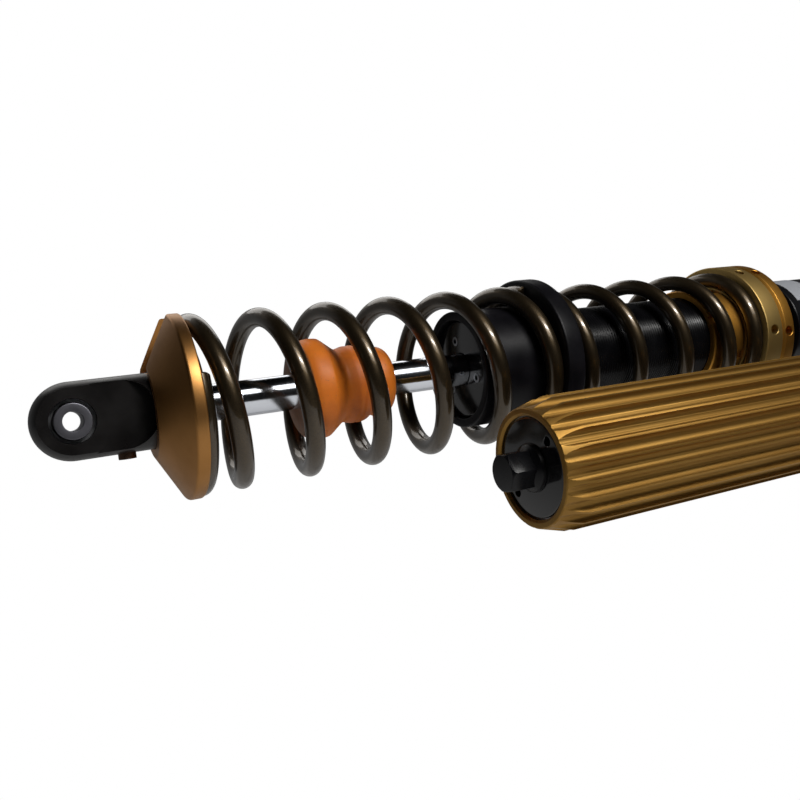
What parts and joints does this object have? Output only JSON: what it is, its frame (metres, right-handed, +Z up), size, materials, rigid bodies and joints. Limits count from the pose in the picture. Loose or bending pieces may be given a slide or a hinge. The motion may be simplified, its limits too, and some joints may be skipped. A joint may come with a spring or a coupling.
{
  "type": "coilover",
  "caption": "Long-travel coilover damper with two springs in series, a sliding spring divider and a fluted gas reservoir on a side bridge; an eye with a spherical bearing at each end.",
  "frame": {"origin": "centre of the upper eye bore", "axes": "+X along the shaft from the wheel-end eye to the upper eye, +Y along both eye bores, +Z up; the reservoir lies on the -Y side, below the shaft"},
  "size_m": [0.7016, 0.1934, 0.1466],
  "materials": {
    "black_thread": "satin",
    "black_anodised": "satin",
    "gloss_black": "gloss",
    "black_eye": "satin",
    "black_plastic": "satin",
    "silver_label": "satin",
    "gold_anodised": "satin",
    "gold_ring": "satin",
    "gold_collar": "satin",
    "bronze_gold": "satin",
    "bronze_knob": "satin",
    "spring_coat": "gloss",
    "chrome_shaft": "polished",
    "polished_steel": "polished",
    "steel": "satin",
    "grey_steel": "satin",
    "bare_aluminium": "satin",
    "bronze_bush": "satin",
    "valve_brass": "satin",
    "orange_urethane": "satin",
    "seal_rubber": "satin"
  },
  "bodies": {
    "root": {"body_tube": "black_thread", "bridge_cap": "black_anodised", "label_band": "silver_label", "seal_head": "gloss_black", "head_pins": "steel", "rod_bushing": "bronze_bush", "rod_seal": "seal_rubber", "rod_wiper": "seal_rubber", "head_oring": "seal_rubber", "body_oring": "seal_rubber", "reservoir_tube": "gold_anodised", "reservoir_end_cap": "gloss_black", "end_cap_oring": "seal_rubber", "end_cap_clip": "steel", "gas_valve": "valve_brass", "valve_cover": "black_anodised", "compression_valve": "steel", "reservoir_oring": "seal_rubber", "passage_plug": "black_anodised", "upper_race": "steel", "upper_clip": "steel", "tender_spring": "spring_coat"},
    "shaft": {"piston_rod": "chrome_shaft", "lower_eye": "black_eye", "lower_race": "steel", "lower_clip": "steel", "spring_retainer": "bronze_gold", "topout_bumper": "seal_rubber", "rebound_shims": "steel", "piston": "bronze_bush", "piston_band": "bronze_bush", "compression_shims": "steel", "piston_nut": "steel"},
    "bump_stop": {"bump_stop": "orange_urethane"},
    "metering": {"metering_rod": "steel"},
    "rebound": {"rebound_knob": "bronze_knob"},
    "slider": {"spring_slider": "black_plastic", "main_spring": "spring_coat"},
    "floating": {"floating_piston": "bare_aluminium", "floating_piston_seal": "seal_rubber"},
    "crossover_jam": {"crossover_jam_ring": "gold_ring"},
    "crossover_stop": {"crossover_stop_ring": "gold_ring"},
    "thrust": {"thrust_washer": "black_plastic"},
    "collar": {"preload_collar": "gold_collar"},
    "lock": {"lock_ring": "gold_ring"},
    "lower_ball": {"lower_ball": "polished_steel"},
    "lower_spacers": {"lower_spacers": "grey_steel"},
    "upper_ball": {"upper_ball": "polished_steel"},
    "upper_spacers": {"upper_spacers": "grey_steel"},
    "compression": {"compression_knob": "gold_anodised"},
    "bleed": {"bleed_knob": "black_anodised"}
  },
  "joints": [
    {"name": "shaft_slide", "type": "slide", "parent": "root", "child": "shaft", "axis": [1, 0, 0], "range_m": [0, 0.118], "stiffness_N_per_m": 16400, "springref_m": -0.02, "deforming": ["main_spring", "tender_spring"]},
    {"name": "bump_stop_slide", "type": "slide", "parent": "shaft", "child": "bump_stop", "axis": [1, 0, 0], "range_m": [-0.0636, 0]},
    {"name": "slider_slide", "type": "slide", "parent": "root", "child": "slider", "axis": [1, 0, 0], "range_m": [0, 0.0473]},
    {"name": "floating_piston_slide", "type": "slide", "parent": "root", "child": "floating", "axis": [1, 0, 0], "range_m": [-0.0167, 0]},
    {"name": "rebound_turn", "type": "hinge", "parent": "shaft", "child": "rebound", "pos_m": [-0.635, 0, -0.02], "axis": [0, 0, 1], "range_deg": [0, 180.1]},
    {"name": "metering_slide", "type": "slide", "parent": "shaft", "child": "metering", "axis": [1, 0, 0], "range_m": [0, 0.0024]},
    {"name": "crossover_travel", "type": "slide", "parent": "root", "child": "crossover_jam", "axis": [1, 0, 0], "range_m": [-0.01, 0]},
    {"name": "crossover_spin", "type": "hinge", "parent": "crossover_jam", "child": "crossover_stop", "pos_m": [-0.23, 0, 0], "axis": [1, 0, 0], "range_deg": [-1800, 0]},
    {"name": "preload_travel", "type": "slide", "parent": "root", "child": "thrust", "axis": [1, 0, 0], "range_m": [0, 0.01]},
    {"name": "collar_spin", "type": "hinge", "parent": "thrust", "child": "collar", "pos_m": [-0.194, 0, 0], "axis": [1, 0, 0], "range_deg": [0, 1800]},
    {"name": "lock_ring_spin", "type": "hinge", "parent": "thrust", "child": "lock", "pos_m": [-0.18, 0, 0], "axis": [1, 0, 0], "range_deg": [0, 1800]},
    {"name": "lower_tilt", "type": "hinge", "parent": "shaft", "child": "lower_ball", "pos_m": [-0.66, 0, 0], "axis": [1, 0, 0], "range_deg": [-10, 10]},
    {"name": "lower_pivot", "type": "hinge", "parent": "lower_ball", "child": "lower_spacers", "pos_m": [-0.66, 0, 0], "axis": [0, 1, 0], "continuous": true},
    {"name": "upper_tilt", "type": "hinge", "parent": "root", "child": "upper_ball", "pos_m": [0, 0, 0], "axis": [1, 0, 0], "range_deg": [-10, 10]},
    {"name": "upper_pivot", "type": "hinge", "parent": "upper_ball", "child": "upper_spacers", "pos_m": [0, 0, 0], "axis": [0, 1, 0], "continuous": true},
    {"name": "compression_turn", "type": "hinge", "parent": "root", "child": "compression", "pos_m": [-0.047, -0.10195, -0.05513], "axis": [1, 0, 0], "range_deg": [0, 720]},
    {"name": "bleed_turn", "type": "hinge", "parent": "root", "child": "bleed", "pos_m": [-0.042, -0.10195, -0.05513], "axis": [1, 0, 0], "range_deg": [0, 720]}
  ],
  "couplings": [
    {"joint": "bump_stop_slide", "follows": "shaft_slide", "ratio": -0.538},
    {"joint": "slider_slide", "follows": "shaft_slide", "ratio": 0.4},
    {"joint": "floating_piston_slide", "follows": "shaft_slide", "ratio": -0.1406},
    {"joint": "rebound_turn", "follows": "metering_slide", "rad_per_m": 1309},
    {"joint": "crossover_travel", "follows": "crossover_spin", "m_per_rad": 0.00031831},
    {"joint": "preload_travel", "follows": "collar_spin", "m_per_rad": 0.00031831},
    {"joint": "lock_ring_spin", "follows": "collar_spin", "ratio": 1}
  ]
}
